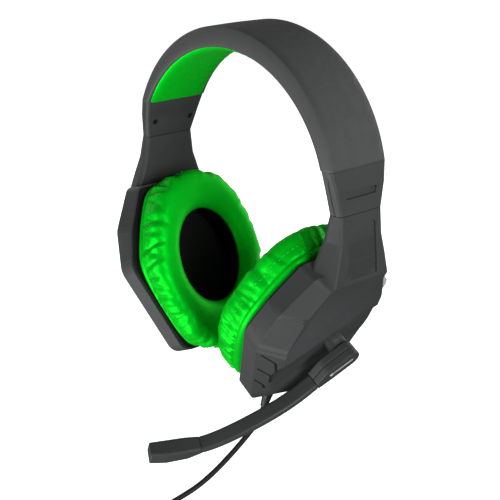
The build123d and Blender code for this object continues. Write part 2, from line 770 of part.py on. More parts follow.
def coil_ring(grow, inner_grow, span):
    """Part of a ring about +X through the coil's centre, of rectangular section."""
    with BuildPart() as ring:
        with BuildSketch(Plane(origin=COIL_CENTRE, x_dir=(1, 0, 0), z_dir=(0, -1, 0))):
            with Locations((0, COIL_MID_R)):
                RectangleRounded(COIL_WIDE + 2 * grow, COIL_RADIAL + 2 * grow, 2.0 + grow)
                if inner_grow > 0:
                    RectangleRounded(
                        COIL_WIDE + 2 * inner_grow, COIL_RADIAL + 2 * inner_grow, 2.0 + inner_grow,
                        mode=Mode.SUBTRACT,
                    )
        revolve(axis=Axis(COIL_CENTRE, (1, 0, 0)), revolution_arc=span)
    return ring.part


cable_coil = coil_ring(0, 0, 360)
coil_tie = coil_ring(TIE_THICK, PLAY / 2, TIE_SPAN)
tail_top = (COIL_CENTRE[0] + (COIL_CENTRE[0] - CABLE_ROUTE[-1][0]), *CABLE_ROUTE[-1][1:])


def hanging_piece(radius_low, radius_high, high_z, low_z):
    """A round piece on the plug's upright centre line."""
    with BuildPart() as piece:
        with BuildSketch(Plane.XY.offset(low_z)):
            with Locations(tail_top[:2]):
                Circle(radius_low)
        with BuildSketch(Plane.XY.offset(high_z)):
            with Locations(tail_top[:2]):
                Circle(radius_high)
        loft()
    return piece.part


cable_tail = hanging_piece(CABLE_D / 2, CABLE_D / 2, tail_top[2], TAIL_END_Z)
grip_top = TAIL_END_Z - RELIEF_LENGTH
jack_top = grip_top - GRIP_LENGTH
plug_relief = hanging_piece(3.0, 1.9, TAIL_END_Z, grip_top)

with BuildPart() as plug_grip:
    add(hanging_piece(GRIP_R - 0.4, GRIP_R, grip_top, jack_top))
    fillet(plug_grip.edges(), radius=0.6)
    for groove in range(4):
        with BuildSketch(Plane.XY.offset(grip_top - 4 - 2.2 * groove)):
            with Locations(tail_top[:2]):
                Circle(GRIP_R + 1)
                Circle(GRIP_R - 0.5, mode=Mode.SUBTRACT)
        extrude(amount=-0.9, mode=Mode.SUBTRACT)

contact_z = jack_top
core_end = jack_top - sum(length + JACK_GAP for _, length in JACK_PIECES)
with BuildPart() as plug_core:
    add(hanging_piece(JACK_CORE_R, JACK_CORE_R, jack_top, core_end))
    for label, length in JACK_PIECES:
        contact_z -= length + JACK_GAP
        add(hanging_piece(JACK_R, JACK_R, contact_z + JACK_GAP, contact_z))

with BuildPart() as plug_tip:
    with BuildSketch(Plane(origin=(*tail_top[:2], core_end), x_dir=(1, 0, 0), z_dir=(0, -1, 0))):
        with BuildLine():
            Polyline((0, 0), (JACK_R, 0), (JACK_R - 0.5, -1.0), (JACK_R, -1.8), (0.4, -TIP_LENGTH))
            Line((0.4, -TIP_LENGTH), (0, -TIP_LENGTH))
            Line((0, -TIP_LENGTH), (0, 0))
        make_face()
    revolve(axis=Axis((*tail_top[:2], core_end), (0, 0, 1)))


# =====================================================================================
# Write every piece
# =====================================================================================
pairs = {
    "band_end_outer": band_end_outer, "band_end_inner": band_end_inner, "slider": slider_strip,
    "arm_cover": arm_cover, "vent_inserts": vent_inserts, "pad_retainer": pad_retainer,
    "speaker_cloth": speaker_cloth, "baffle": baffle, "driver_frame": driver_frame,
    "driver_magnet": driver_magnet, "diaphragm": diaphragm, "ear_pad": ear_pad,
}
singles = {
    "headband_cover": band_cover_open, "headband_pad": headband_pad,
    "headband_spring": headband_spring, "left_shell": left_shell, "left_rim": left_rim,
    "volume_wheel": volume_wheel, "volume_pot": volume_pot, "volume_board": volume_board,
    "boom_pivot_pin": boom_pivot_pin, "boom_washer": boom_washer,
    "boom_housing_inner": boom_housing_inner, "boom_housing_outer": boom_housing_outer,
    "boom_accent": boom_accent, "boom_arm": boom_arm, "mic_housing": mic_housing,
    "mic_foam": mic_foam, "mic_capsule": mic_capsule, "cable": cable,
    "cable_gland": cable_gland, "plug_grip": plug_grip, "plug_core": plug_core,
    "plug_tip": plug_tip,
}
for stem, piece in pairs.items():
    save_pair(piece.part, stem)
for label, piece in singles.items():
    save(piece.part, label)

save_pair(arm_panel, "arm_panel")
save(mirror(shell.part, about=Plane.YZ), "right_shell")
save(mirror(rim.part, about=Plane.YZ), "right_rim")
save(band_end_screws, "band_end_screws")
save(cable_coil, "cable_coil")
save(coil_tie, "coil_tie")
save(cable_tail, "cable_tail")
save(plug_relief, "plug_relief")

contact_top = jack_top
for label, length in JACK_PIECES:
    with BuildPart() as contact:
        add(hanging_piece(JACK_R, JACK_R, contact_top, contact_top - length))
        add(
            hanging_piece(JACK_CORE_R, JACK_CORE_R, contact_top + 1, contact_top - length - 1),
            mode=Mode.SUBTRACT,
        )
    save(contact.part, label)
    contact_top -= length + JACK_GAP
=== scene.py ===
"""Looks of an over-ear gaming headset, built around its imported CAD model.

Sizes are in millimetres until a mesh or curve is made, which is in metres, in the row frame:
+Z up, +X towards the wearer's left, -Y towards the wearer's front, origin at the crown.
The floor, the lights and the camera are placed in metres.
"""

import json
import math
import random

import bmesh
import bpy
import numpy as np
from mathutils import Matrix, Vector, noise


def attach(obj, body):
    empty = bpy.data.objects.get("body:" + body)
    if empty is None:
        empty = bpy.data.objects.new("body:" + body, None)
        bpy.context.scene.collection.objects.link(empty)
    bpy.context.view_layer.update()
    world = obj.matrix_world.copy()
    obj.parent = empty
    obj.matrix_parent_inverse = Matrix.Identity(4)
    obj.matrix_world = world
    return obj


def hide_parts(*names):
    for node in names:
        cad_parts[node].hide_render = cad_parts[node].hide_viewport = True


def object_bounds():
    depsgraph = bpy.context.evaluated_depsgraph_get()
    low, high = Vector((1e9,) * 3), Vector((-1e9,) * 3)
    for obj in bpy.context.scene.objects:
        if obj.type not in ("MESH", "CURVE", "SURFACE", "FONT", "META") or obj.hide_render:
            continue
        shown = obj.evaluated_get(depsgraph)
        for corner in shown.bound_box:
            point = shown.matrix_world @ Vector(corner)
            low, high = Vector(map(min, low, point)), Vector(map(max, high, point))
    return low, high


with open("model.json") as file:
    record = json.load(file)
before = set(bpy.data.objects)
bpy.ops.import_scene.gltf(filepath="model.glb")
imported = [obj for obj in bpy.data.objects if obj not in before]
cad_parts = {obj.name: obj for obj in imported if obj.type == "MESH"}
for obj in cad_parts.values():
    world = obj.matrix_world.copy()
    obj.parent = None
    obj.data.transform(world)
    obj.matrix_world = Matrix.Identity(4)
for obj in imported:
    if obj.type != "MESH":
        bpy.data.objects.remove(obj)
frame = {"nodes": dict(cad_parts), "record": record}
cad_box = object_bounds()
MM = 0.001
SIDES = {"left": 1, "right": -1}     # the right-hand pieces are mirror images in X
slot_of = {row["node"]: row["material_slot"] for row in frame["record"]["subparts"]}
body_of_node = {
    node: body for body, nodes in frame["record"]["behaviour"]["bodies"].items() for node in nodes
}

# ---- the cup plane of the left cup: x backwards, y up the slope, z outwards ----
CANT = math.radians(26.06)
CUP_ORIGIN = Vector((43.7, -2.7, -131.0))
CUP_UP = Vector((math.sin(CANT), 0, math.cos(CANT)))
CUP_OUT = Vector((math.cos(CANT), 0, -math.sin(CANT)))

# ---- headband: the arc under it is centred one INNER_R below the crown ----
INNER_R = 71.4
OUTER_R = 76.0
OUTER_CENTRE_Z = -65.2
BAND_END_Z = -43.05
BAND_STEPS = 150

# ---- edges of the moulded pieces ----
EDGE_RADIUS = 0.5
MOULDING_VOXEL = 0.3
MOULDING_ROUNDS = 12      # of smoothing

# ---- ear pads ----
# Each line is a side of the outline: its normal and its distance from the middle. A normal with
# an x also stands for its mirror image.
PAD_SIDES = [((0, 1), 46.0), ((22, 12), 42.2), ((20, 6), 40.4), ((54, -21), 36.76), ((0, -1), 50.0)]
BASE_SHARPNESS = 12.0     # of the outline's corners where the pad meets the cup
ROLL_SHARPNESS = 5.5      # and on its plump outer roll
ROLL_PROUD = 1.6
ROLL_RISE = 12.0          # the roll is at its fullest this far from the cup
PAD_HOLE = (20.5, 26.5)
PAD_DEPTH = 21.0
PAD_GAP = 0.3             # between the pad and the cup
SEAM_OUT = -5.4           # height of the stitched seam
AROUND = 640
ACROSS = 84
PAD_SEEDS = {"left": 3, "right": 8}

# ---- folds gathered into a pad's side: ranges that each fold is drawn from ----
CREASE_GAP = 6.2
FOLD_DEPTH = (0.5, 1.9)
FOLD_WIDTH = (1.1, 2.3)
FOLD_SLANT = (-0.45, 0.45)
FOLD_REACH = (0.45, 1.3)  # in radians round the pad's section
SIDE_BULGE = 1.7
SEAM_DEPTH = 1.1
PUFF_SIZE, PUFF, PUCKER = 11.0, 0.5, 0.3

# ---- stitches ----
STITCH_LONG, STITCH_GAP = 1.9, 2.9
THREAD_R = 0.24
STITCH_LIFT = 0.18
STITCH_RING, STITCH_SAMPLES = 6, 5

# ---- cloth over the speaker ----
CLOTH_HALF = (21.4, 27.4)
CELL_R = 3.1
RIB = 0.55
RIB_DROP = 0.5
CLOTH_RISE, CLOTH_DOME = 0.25, 0.8
CLOTH_BACK = 0.9

# ---- cable, as in the CAD ----
CABLE_D = 3.0
CABLE_ROUTE = [
    (27.9, -7.5, -192.7), (27.1, -9.2, -200.9), (25.1, -14.6, -208.9), (22.6, -22.9, -218.6),
    (20.0, -31.9, -227.8), (17.0, -41.4, -235.8), (13.9, -51.2, -241.0), (9.5, -60.6, -246.5),
    (5.0, -66.5, -254.8), (2.2, -68.4, -264.6), (1.5, -68.5, -276.0),
]
COIL_Y, COIL_Z = -48.0, -276.0
COIL_COLUMNS = 6
COIL_ROWS = 3
COIL_OUTER_R = 20.5
POINTS_PER_TURN = 16
CROSSING_FROM = 0.66      # share of a turn after which it crosses to the next slot
TAIL_MIDDLE_Z, TAIL_END_Z = -283.0, -292.0

# ---- floor, light and camera, in metres ----
SLIDE_TRAVEL = 0.02       # how far the cups and the cable go down when the arms are pulled out
FLOOR_GAP = 0.004
FLOOR_SIZE = 12.0
FLOOR_GLOW = 0.95
ROOM_LIGHT = 0.12
LIGHTS_FACE = (0, 0, -0.1)
LIGHTS = [                # name, place, size, watts
    ("key", (-0.1, -0.95, -0.7), 1.0, 22),
    ("left_fill", (1.0, -0.2, 0.16), 0.6, 12),
    ("right_fill", (-0.9, 0.1, 0.2), 0.8, 3),
    ("back", (0.1, 1.0, 0.1), 1.0, 7),
]
CAMERA_PLACE = (0.4259, -0.4065, 0.1357)
AZIMUTH, ELEVATION, ROLL = math.radians(46.26), math.radians(22.78), math.radians(3.75)
LENS_MM, SENSOR_MM = 85.1, 36


# =====================================================================================
# Materials
# =====================================================================================
class Finish:
    """A Principled material whose grain, tone, wear and painted light and shade are added as
    procedural nodes.
    """

    def __init__(self, name, colour, roughness, **sockets):
        self.material = bpy.data.materials.new(name)
        self.material.use_nodes = True
        self.tree = self.material.node_tree
        self.shader = self.tree.nodes["Principled BSDF"]
        self.colour = colour
        self.shader.inputs["Base Color"].default_value = (*colour, 1)
        self.shader.inputs["Roughness"].default_value = roughness
        for socket, value in sockets.items():
            self.shader.inputs[socket.replace("_", " ")].default_value = value
        self.place = self.node("ShaderNodeTexCoord").outputs["Object"]
        self.tone = None
        self.bump = None
        self.material.diffuse_color = (*colour, 1)

    def node(self, kind, **values):
        made = self.tree.nodes.new(kind)
        for key, value in values.items():
            setattr(made, key, value)
        return made

    def link(self, output, target):
        self.tree.links.new(output, target)

    def stretched(self, scale):
        """Object coordinates scaled by a number or by three."""
        mapping = self.node("ShaderNodeMapping")
        mapping.inputs["Scale"].default_value = scale
        self.link(self.place, mapping.inputs["Vector"])
        return mapping.outputs["Vector"]

    def noise(self, size_mm, detail, stretch=(1, 1, 1)):
        """A noise whose features are about size_mm across."""
        texture = self.node("ShaderNodeTexNoise")
        texture.inputs["Scale"].default_value = 1 / (size_mm * MM)
        texture.inputs["Detail"].default_value = detail
        self.link(self.stretched(stretch), texture.inputs["Vector"])
        return texture.outputs["Fac"]

    def cells(self, size_mm, feature="F1"):
        """Voronoi cells about size_mm across: the distance to their middles, or to their edges."""
        texture = self.node("ShaderNodeTexVoronoi", feature=feature)
        texture.inputs["Scale"].default_value = 1 / (size_mm * MM)
        self.link(self.place, texture.inputs["Vector"])
        return texture.outputs["Distance"]

    def ramp(self, value, low, high, out_low=0.0, out_high=1.0):
        """value from low to high becomes out_low to out_high."""
        scale = self.node("ShaderNodeMapRange")
        scale.inputs["From Min"].default_value = low
        scale.inputs["From Max"].default_value = high
        scale.inputs["To Min"].default_value = out_low
        scale.inputs["To Max"].default_value = out_high
        self.link(value, scale.inputs["Value"])
        return scale.outputs["Result"]

    def tint(self, factor, colour, strength):
        """Mix a colour over the base where factor is high."""
        mix = self.node("ShaderNodeMix", data_type="RGBA")
        weight = self.ramp(factor, 0.0, 1.0, 0.0, strength)
        self.link(weight, mix.inputs["Factor"])
        if self.tone is None:
            mix.inputs["A"].default_value = (*self.colour, 1)
        else:
            self.link(self.tone, mix.inputs["A"])
        mix.inputs["B"].default_value = (*colour, 1)
        self.tone = mix.outputs["Result"]
        self.link(self.tone, self.shader.inputs["Base Color"])
        return self

    def rough(self, factor, low, high):
        """Roughness from low to high with a noise, most of whose values are between 0.3 and 0.7."""
        self.link(self.ramp(factor, 0.3, 0.7, low, high), self.shader.inputs["Roughness"])
        return self

    def relief(self, height, depth_mm):
        """A bump of a depth in millimetres, over the bumps made before it."""
        bump = self.node("ShaderNodeBump")
        bump.inputs["Distance"].default_value = depth_mm * MM
        self.link(height, bump.inputs["Height"])
        if self.bump is not None:
            self.link(self.bump, bump.inputs["Normal"])
        self.bump = bump.outputs["Normal"]
        self.link(self.bump, self.shader.inputs["Normal"])
        return self

    def edges(self):
        """High where the surface is a convex edge. A flat surface has a pointiness of 0.5."""
        return self.ramp(self.node("ShaderNodeNewGeometry").outputs["Pointiness"], 0.54, 0.62)


def moulded(name, colour, roughness, grain=0.012):
    """Moulded plastic: fine spark grain, a slow change of tone, and convex edges painted lighter,
    partly as wear and partly as a painted highlight.
    """
    made = Finish(name, colour, roughness, IOR=1.33)
    tone_and_highlight = tuple(min(1.0, c * 2) for c in colour)
    made.tint(made.noise(22, 2), tone_and_highlight, 0.16)
    # painted highlight, with some wear: convex edges are lightened where their pointiness is high
    made.tint(made.edges(), tone_and_highlight, 0.55)
    made.rough(made.noise(9, 3), roughness - 0.05, roughness + 0.06)
    made.relief(made.noise(0.35, 2), grain)
    return made.material


def pebbled(name, colour, roughness, cell=0.9, depth=0.05, gleam=0.0, lining=None):
    """Leatherette: pebble cells with fine creases and painted shade in the valleys between them,
    tone that varies from patch to patch.

    gleam is how much of its shine takes the leatherette's own colour, and lining the colour of a
    cloth that takes over where the mesh's own attribute says so.
    """
    made = Finish(name, colour, roughness, Metallic=gleam, IOR=1.4 - 0.7 * gleam)
    if gleam:
        made.shader.inputs["Specular Tint"].default_value = (*colour, 1)
    darker_tone_and_shade = tuple(c * 0.55 for c in colour)
    made.tint(made.noise(14, 4), darker_tone_and_shade, 0.22)
    # painted shade: the valleys between the pebbles, where the bump is low, are darkened
    made.tint(made.ramp(made.cells(cell, "DISTANCE_TO_EDGE"), 0.12, 0.0), darker_tone_and_shade, 0.35)
    made.rough(made.noise(6, 3), roughness - 0.06, roughness + 0.08)
    made.relief(made.ramp(made.cells(cell, "DISTANCE_TO_EDGE"), 0.0, 0.25), depth)
    made.relief(made.noise(0.25, 3), depth * 0.4)
    if lining is not None:
        lined = made.node("ShaderNodeAttribute", attribute_name="lining")
        made.tint(lined.outputs["Fac"], lining, 1.0)
    return made.material


def woven(name, colour, thread=0.45):
    """A tight knitted cloth, with painted shade between its threads."""
    made = Finish(
        name, colour, 0.85, Specular_IOR_Level=0.2, Sheen_Weight=0.03, Sheen_Roughness=0.5,
    )
    threads = made.cells(thread)
    # painted shade: the cloth is darkened away from the thread middles, where its relief is low
    made.tint(made.ramp(threads, 0.2, 0.6), tuple(c * 0.3 for c in colour), 0.8)
    made.tint(made.noise(8, 3), tuple(c * 1.8 for c in colour), 0.2)
    made.relief(made.ramp(threads, 0.0, 0.6, 1.0, 0.0), 0.12)
    return made.material


def brushed(name, colour, roughness):
    """Rolled or plated metal with fine lines along its length."""
    made = Finish(name, colour, roughness, Metallic=1.0)
    lines = made.noise(0.5, 4, (1, 1, 0.05))
    made.tint(lines, tuple(c * 0.7 for c in colour), 0.4)
    made.rough(lines, roughness - 0.08, roughness + 0.12)
    made.relief(lines, 0.004)
    return made.material


def jacketed(name, colour, roughness):
    """A cable's satin jacket, with faint scuffs."""
    made = Finish(name, colour, roughness, Specular_IOR_Level=0.3)
    made.tint(made.noise(5, 4), tuple(c * 2.2 + 0.004 for c in colour), 0.3)
    made.rough(made.noise(2.5, 3), roughness - 0.08, roughness + 0.08)
    made.relief(made.noise(0.4, 2), 0.02)
    return made.material


CHARCOAL = (0.027, 0.028, 0.0283)
GREEN = (0.001, 0.52, 0.014)
LINING = (0.0012, 0.0014, 0.0012)
finishes = {
    "shell_plastic": moulded("shell_plastic", CHARCOAL, 0.58),
    "panel_plastic": moulded("panel_plastic", tuple(c * 0.9 for c in CHARCOAL), 0.42, 0.006),
    "black_plastic": moulded("black_plastic", (0.0012, 0.0012, 0.0012), 0.8),
    "band_cover": pebbled("band_cover", (0.046, 0.047, 0.047), 0.6, 0.55, 0.03),
    "green_leatherette": pebbled("green_leatherette", GREEN, 0.4, 0.7, 0.02, 0.3, LINING),
    "mesh_cloth": woven("mesh_cloth", (0.007, 0.007, 0.007)),
    "spring_steel": brushed("spring_steel", (0.55, 0.56, 0.58), 0.3),
    "screw_steel": brushed("screw_steel", (0.09, 0.09, 0.1), 0.35),
    "diaphragm_film": moulded("diaphragm_film", (0.2, 0.2, 0.22), 0.3, 0.002),
    "board": moulded("board", (0.02, 0.14, 0.06), 0.35, 0.002),
    "wheel_plastic": moulded("wheel_plastic", (0.3, 0.31, 0.32), 0.45, 0.008),
    "accent": moulded("accent", (0.3, 0.305, 0.31), 0.4, 0.002),
    "boom_rubber": moulded("boom_rubber", tuple(c * 1.05 for c in CHARCOAL), 0.46, 0.006),
    "cable_rubber": jacketed("cable_rubber", (0.003, 0.003, 0.0032), 0.5),
    "contact_gold": brushed("contact_gold", (0.83, 0.62, 0.27), 0.18),
}
thread_finish = jacketed("green_thread", (0.004, 0.42, 0.014), 0.7)


# =====================================================================================
# Making pieces
# =====================================================================================
def eased(share):
    """A share from 0 to 1, made to start and stop softly."""
    return share * share * (3 - 2 * share)


def piece_from(name, vertices, faces, slot, body, smooth=True, material=None):
    """A mesh piece from points in millimetres, with its finish, on its body."""
    mesh = bpy.data.meshes.new(name)
    mesh.from_pydata([Vector(p) * MM for p in vertices], [], faces)
    mesh.validate()
    tidy = bmesh.new()
    tidy.from_mesh(mesh)
    bmesh.ops.recalc_face_normals(tidy, faces=tidy.faces)
    tidy.to_mesh(mesh)
    tidy.free()
    made = bpy.data.objects.new(name, mesh)
    bpy.context.scene.collection.objects.link(made)
    mesh.materials.append(material or finishes[slot])
    for polygon in mesh.polygons:
        polygon.use_smooth = smooth
    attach(made, body)
    return made


def grid_faces(rows, columns, wrap_rows, wrap_columns):
    """Quads over a grid of points, row by row."""
    faces = []
    for row in range(rows if wrap_rows else rows - 1):
        for column in range(columns if wrap_columns else columns - 1):
            next_row, next_column = (row + 1) % rows, (column + 1) % columns
            faces.append((
                row * columns + column, row * columns + next_column,
                next_row * columns + next_column, next_row * columns + column,
            ))
    return faces


def apply_modifiers(made):
    """Replace a piece's mesh by what its modifiers give."""
    shown = made.evaluated_get(bpy.context.evaluated_depsgraph_get())
    mesh = bpy.data.meshes.new_from_object(shown)
    made.modifiers.clear()
    made.data = mesh


def in_place_of(node, mesh):
    """A piece with the finish and body of a node, which it replaces."""
    made = bpy.data.objects.new(f"{node}_moulding", mesh)
    bpy.context.scene.collection.objects.link(made)
    mesh.materials.clear()
    mesh.materials.append(finishes[slot_of[node]])
    for polygon in mesh.polygons:
        polygon.use_smooth = True
    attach(made, body_of_node[node])
    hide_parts(node)
    return made


def moulding(node):
    """A small node's shape with all its edges worn soft, in place of the node."""
    made = in_place_of(node, frame["nodes"][node].data.copy())
    fine = made.modifiers.new("fine", "REMESH")
    fine.mode = "VOXEL"
    fine.voxel_size = MOULDING_VOXEL * MM
    soften = made.modifiers.new("soften", "SMOOTH")
    soften.factor = 0.5
    soften.iterations = MOULDING_ROUNDS
    thin = made.modifiers.new("thin", "DECIMATE")
    thin.ratio = 0.3
    apply_modifiers(made)
    for polygon in made.data.polygons:
        polygon.use_smooth = True
    return made


def edged(node):
    """A node's shape with a small radius on its long sharp edges, in place of the node.

    An edge is left sharp where a short one starts at either of its ends, as the radius would
    cross it.
    """
    shape = bmesh.new()
    shape.from_mesh(frame["nodes"][node].data)
    bmesh.ops.remove_doubles(shape, verts=shape.verts, dist=0.002 * MM)
    bmesh.ops.dissolve_limit(
        shape, angle_limit=math.radians(1.2), verts=shape.verts, edges=shape.edges,
    )
    long_edges = [
        edge for edge in shape.edges
        if edge.is_manifold and edge.is_convex and edge.calc_length() > 2.5 * MM
        and edge.calc_face_angle() > math.radians(14)
        and all(
            other.calc_length() > 2 * EDGE_RADIUS * MM
            for end in edge.verts for other in end.link_edges
        )
    ]
    bmesh.ops.bevel(
        shape, geom=long_edges, offset=EDGE_RADIUS * MM, offset_type="OFFSET", segments=3,
        profile=0.5, affect="EDGES", clamp_overlap=False,
    )
    mesh = bpy.data.meshes.new(f"{node}_edged")
    shape.to_mesh(mesh)
    shape.free()
    made = in_place_of(node, mesh)
    mesh.set_sharp_from_angle(angle=math.radians(28))
    level = made.modifiers.new("level", "WEIGHTED_NORMAL")
    level.keep_sharp = True
    level.weight = 80
    return made


def on_cup(side, across, up, out):
    """A point of the left or right cup's plane, in the row frame."""
    point = CUP_ORIGIN + Vector((0, across, 0)) + CUP_UP * up + CUP_OUT * out
    return Vector((SIDES[side] * point.x, point.y, point.z))


# =====================================================================================
# Ear pads
# =====================================================================================
def pad_outline(angle, sharpness):
    """Radius of the pad's outline at an angle from +x of the cup plane."""
    along = (math.cos(angle), math.sin(angle))
    total = 0.0
    for (nx, ny), distance in PAD_SIDES:
        length = math.hypot(nx, ny)
        for mirror in ((1, -1) if nx else (1,)):
            facing = (mirror * nx * along[0] + ny * along[1]) / length
            total += (max(facing, 0.0) / distance) ** sharpness
    return total ** (-1 / sharpness)


def hole_radius(angle):
    """Radius of the ear opening at an angle."""
    return 1 / math.hypot(math.cos(angle) / PAD_HOLE[0], math.sin(angle) / PAD_HOLE[1])


def pad_profile(turn):
    """The pad's section: share of the way from hole to outline, and height, at a turn in radians.

    0 is the outer side, a quarter turn the face that meets the head, half a turn the ear hole.
    """
    c, s = math.cos(turn), math.sin(turn)
    out_power = 0.74 if c > 0 else 0.9       # a power of 1 is round, and a lower one is squarer
    wide = math.copysign(abs(c) ** out_power, c)
    face_power = 0.78 if s > 0 else 0.42
    tall = math.copysign(abs(s) ** face_power, s)
    share = 0.5 + 0.5 * wide
    height = -PAD_DEPTH / 2 * (1 + tall) - PAD_GAP
    lean = 0.055 * (1 - wide) * max(tall, 0)
    return share - lean, height


def crease_pattern(seed, side_length):
    """Random folds: place along the pad's side, depth, width, slant and reach across the side."""
    draw = random.Random(seed)
    folds = []
    place = 0.0
    while place < side_length - CREASE_GAP * 0.5:
        folds.append((
            place, draw.uniform(*FOLD_DEPTH), draw.uniform(*FOLD_WIDTH),
            draw.uniform(*FOLD_SLANT), draw.uniform(*FOLD_REACH),
        ))
        place += CREASE_GAP * draw.uniform(0.5, 1.5)
    return folds


def pad_surface(seed):
    """The pad's points, AROUND by ACROSS, folded and stitched, in the left cup's plane."""
    angles = [2 * math.pi * i / AROUND for i in range(AROUND)]
    turns = [2 * math.pi * j / ACROSS for j in range(ACROSS)]
    base = np.zeros((AROUND, ACROSS, 3))
    for i, angle in enumerate(angles):
        at_cup = pad_outline(angle, BASE_SHARPNESS)
        at_roll = pad_outline(angle, ROLL_SHARPNESS) + ROLL_PROUD
        inner = hole_radius(angle)
        for j, turn in enumerate(turns):
            share, height = pad_profile(turn)
            plump = min(max(-height / ROLL_RISE, 0), 1)
            outer = at_cup + (at_roll - at_cup) * eased(plump)
            radius = inner + (outer - inner) * share
            base[i, j] = (radius * math.cos(angle), radius * math.sin(angle), height)
    steps = np.linalg.norm(np.roll(base[:, 0], -1, 0) - base[:, 0], axis=1)
    along = np.concatenate(([0], np.cumsum(steps)[:-1]))
    total = steps.sum()
    ahead = np.roll(base, -1, 0) - np.roll(base, 1, 0)
    over = np.roll(base, -1, 1) - np.roll(base, 1, 1)
    normal = np.cross(ahead, over)
    normal /= np.linalg.norm(normal, axis=2, keepdims=True)
    outwards = base[0, 0] - base[0, ACROSS // 2]
    if np.dot(normal[0, 0], outwards) < 0:
        normal = -normal
    heights = base[:, :, 2]
    turn_grid = np.array(turns)[None, :].repeat(AROUND, 0)
    signed = np.where(turn_grid > math.pi, turn_grid - 2 * math.pi, turn_grid)
    side_wall = np.exp(-((signed - 0.42) / 0.62) ** 2)
    above_seam = np.clip((SEAM_OUT - heights) / 1.6, 0, 1)
    push = np.zeros((AROUND, ACROSS))
    for place, depth, width, slant, reach in crease_pattern(seed, total):
        from_fold = along[:, None] - place - slant * (heights - SEAM_OUT)
        away = (from_fold + total / 2) % total - total / 2
        fade = np.clip((signed - 0.3 * reach) / (0.95 * reach), 0, 1)
        wall = (1 - eased(fade)) * above_seam
        open_out = width * (1 + 0.6 * np.clip(signed + 0.2, 0, 1.5))
        valley = np.exp(-np.sqrt((away / open_out) ** 2 + 0.03))
        push -= depth * valley * wall
        push += 0.4 * depth * np.exp(-((away - 1.9 * width) / (1.2 * width)) ** 2) * wall
    push += SIDE_BULGE * side_wall * above_seam
    seam = np.exp(-((heights - SEAM_OUT) / 0.55) ** 2) * (signed > -0.9) * (signed < 0.9)
    push -= SEAM_DEPTH * seam
    for i in range(AROUND):
        for j in range(ACROSS):
            point = Vector(base[i, j]) / PUFF_SIZE + Vector((seed, 0, 0))
            push[i, j] += PUFF * noise.noise(point) * (0.35 + side_wall[i, j])
            gathered = above_seam[i, j] * side_wall[i, j]
            push[i, j] += PUCKER * noise.noise(point * 3.0) * gathered
    push *= signed >= -1.0                   # the back, against the cup, stays flat
    return base + normal * push[:, :, None]


def lining_share(turn):
    """1 on the wall of the ear hole, which is lined with black cloth, and 0 on the leatherette."""
    start, full, end = math.radians(146), math.radians(154), math.radians(260)
    return min(max((turn - start) / (full - start), 0), 1) * (turn < end)


def ear_pad(side):
    """A plump leatherette ring with gathered sides and a seam. Its points are returned."""
    surface = pad_surface(PAD_SEEDS[side])
    points = [on_cup(side, *surface[i, j]) for i in range(AROUND) for j in range(ACROSS)]
    pad = piece_from(
        f"{side}_ear_pad_cushion", points, grid_faces(AROUND, ACROSS, True, True),
        "green_leatherette", f"{side}_cup",
    )
    lining = pad.data.attributes.new("lining", "FLOAT", "POINT")
    inside = [lining_share(2 * math.pi * j / ACROSS) for j in range(ACROSS)]
    lining.data.foreach_set("value", inside * AROUND)
    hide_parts(f"{side}_ear_pad")
    return surface


def seam_stitches(side, surface):
    """Short thread stitches lying in the pad's seam."""
    ring, samples = STITCH_RING, STITCH_SAMPLES
    column = int(np.argmin(np.abs(surface[0, : ACROSS // 4, 2] - SEAM_OUT)))
    line = surface[:, column]
    middle = line.mean(0)
    steps = np.linalg.norm(np.roll(line, -1, 0) - line, axis=1)
    along = np.concatenate(([0], np.cumsum(steps)))
    closed = np.vstack([line, line[:1]])
    count = int(along[-1] / STITCH_GAP)
    vertices, faces = [], []
    for k in range(count):
        start = k * along[-1] / count
        first = len(vertices)
        for i in range(samples):
            share = i / (samples - 1)
            reached = start + STITCH_LONG * share
            at = np.array([np.interp(reached, along, closed[:, axis]) for axis in range(3)])
            outwards = at - middle
            outwards[2] = 0
            outwards /= np.linalg.norm(outwards)
            swell = math.sin(math.pi * (0.08 + 0.84 * share)) ** 0.5
            lift = STITCH_LIFT * math.sin(math.pi * share)
            for r in range(ring):
                a = 2 * math.pi * r / ring
                offset = outwards * (math.cos(a) * THREAD_R * swell + lift)
                offset = offset + np.array([0, 0, math.sin(a) * THREAD_R * swell])
                vertices.append(on_cup(side, *(at + offset)))
        for i in range(samples - 1):
            for r in range(ring):
                a0, a1 = first + i * ring + r, first + i * ring + (r + 1) % ring
                faces.append((a0, a1, a1 + ring, a0 + ring))
        faces.append(tuple(first + r for r in range(ring)))
        faces.append(tuple(first + (samples - 1) * ring + r for r in reversed(range(ring))))
    return piece_from(
        f"{side}_pad_stitches", vertices, faces, "green_leatherette", f"{side}_cup",
        material=thread_finish,
    )


